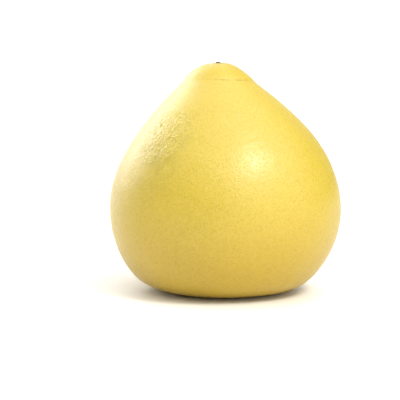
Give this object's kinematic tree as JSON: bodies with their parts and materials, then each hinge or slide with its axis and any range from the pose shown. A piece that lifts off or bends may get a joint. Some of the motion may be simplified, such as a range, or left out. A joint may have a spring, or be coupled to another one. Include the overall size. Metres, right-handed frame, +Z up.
{
  "type": "pomelo",
  "caption": "Whole pear-shaped citrus fruit with a short neck, a thick pored yellow rind, a dry stem button and a flat resting spot.",
  "frame": {"origin": "middle of the fruit's outline, on the surface that it rests on", "axes": "+Z up, from the blossom end to the stem end; +Y away from the side that is shown, which faces -Y; the neck leans a few degrees towards -X and +Y"},
  "size_m": [0.1548, 0.1544, 0.1536],
  "materials": {
    "rind": "satin",
    "dry_stem": "matte"
  },
  "bodies": {
    "root": {"fruit": "rind", "stem_button": "dry_stem"}
  },
  "joints": []
}
